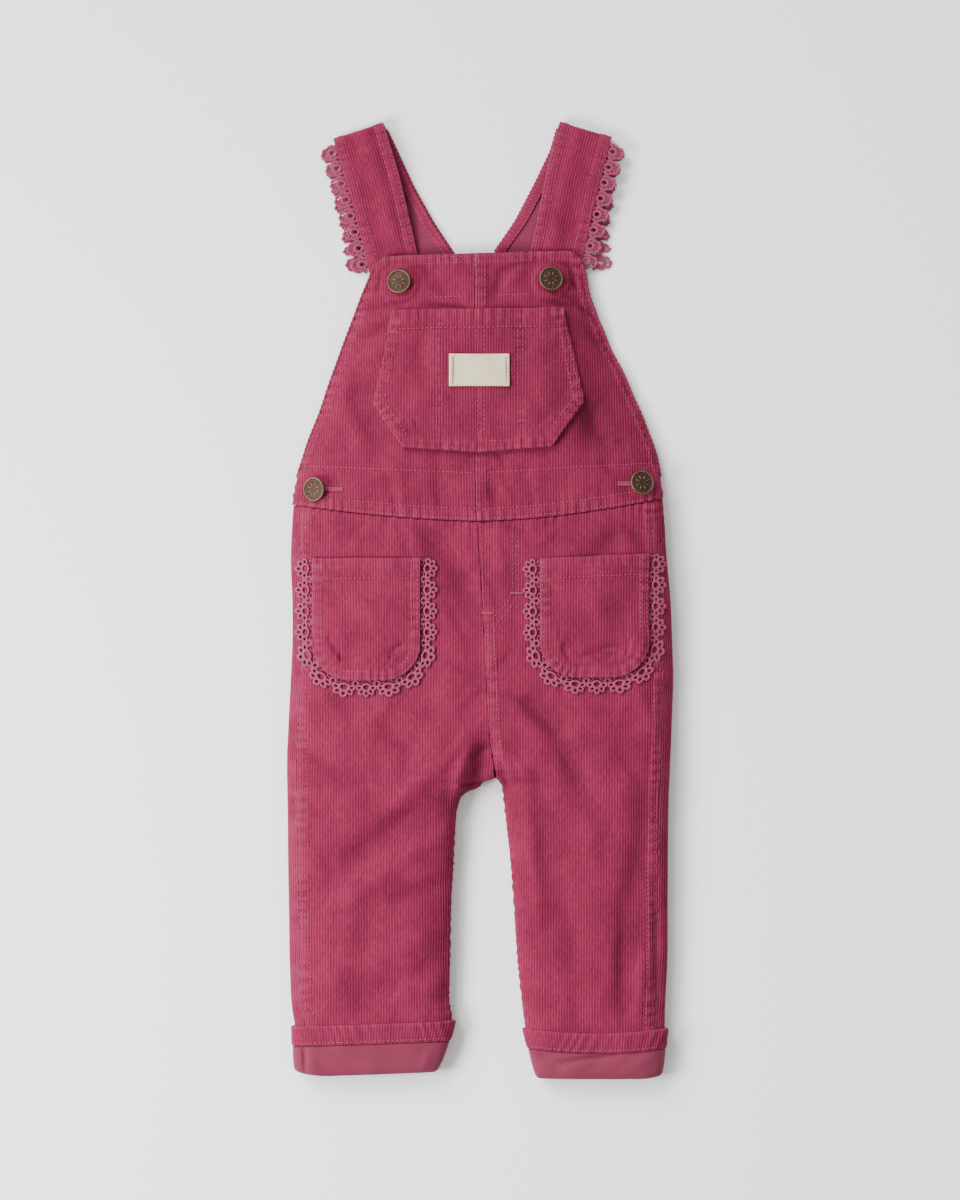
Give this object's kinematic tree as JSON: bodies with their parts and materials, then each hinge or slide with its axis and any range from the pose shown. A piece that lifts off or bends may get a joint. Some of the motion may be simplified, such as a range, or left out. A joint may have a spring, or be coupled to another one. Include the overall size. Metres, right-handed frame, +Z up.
{
  "type": "toddler bib overalls",
  "caption": "Toddler's corduroy bib overalls laid flat: shoulder straps, bib and hip pockets, lace trim, metal buttons and turned-up cuffs.",
  "frame": {"origin": "middle of the garment's outline, on the surface that it lies on", "axes": "+X to the viewer's right as one looks down at the front, +Y from the cuffs to the shoulders, +Z up out of the surface"},
  "size_m": [0.2621, 0.6492, 0.0271],
  "materials": {
    "corduroy": "fine raspberry corduroy, soft matt pile",
    "cloth_back": "plain reverse of the corduroy, matt",
    "lace": "cotton lace, matt",
    "tape": "cream woven tape, matt",
    "aged_brass": "aged, satin"
  },
  "bodies": {
    "root": {"back_left": "corduroy", "back_right": "corduroy", "back_yoke": "corduroy", "bib_left": "corduroy", "bib_pocket": "corduroy", "bib_right": "corduroy", "button_bib_left": "aged_brass", "button_bib_right": "aged_brass", "button_side_left": "aged_brass", "button_side_right": "aged_brass", "cuff_hem_left": "corduroy", "cuff_hem_right": "corduroy", "cuff_left": "cloth_back", "cuff_right": "cloth_back", "front_left": "corduroy", "front_right": "corduroy", "hip_pocket_left": "corduroy", "hip_pocket_right": "corduroy", "label": "tape", "lace_back_left": "lace", "lace_back_right": "lace", "lace_pocket_left": "lace", "lace_pocket_right": "lace", "lace_strap_left": "lace", "lace_strap_right": "lace", "strap_left": "corduroy", "strap_right": "corduroy"}
  },
  "joints": []
}
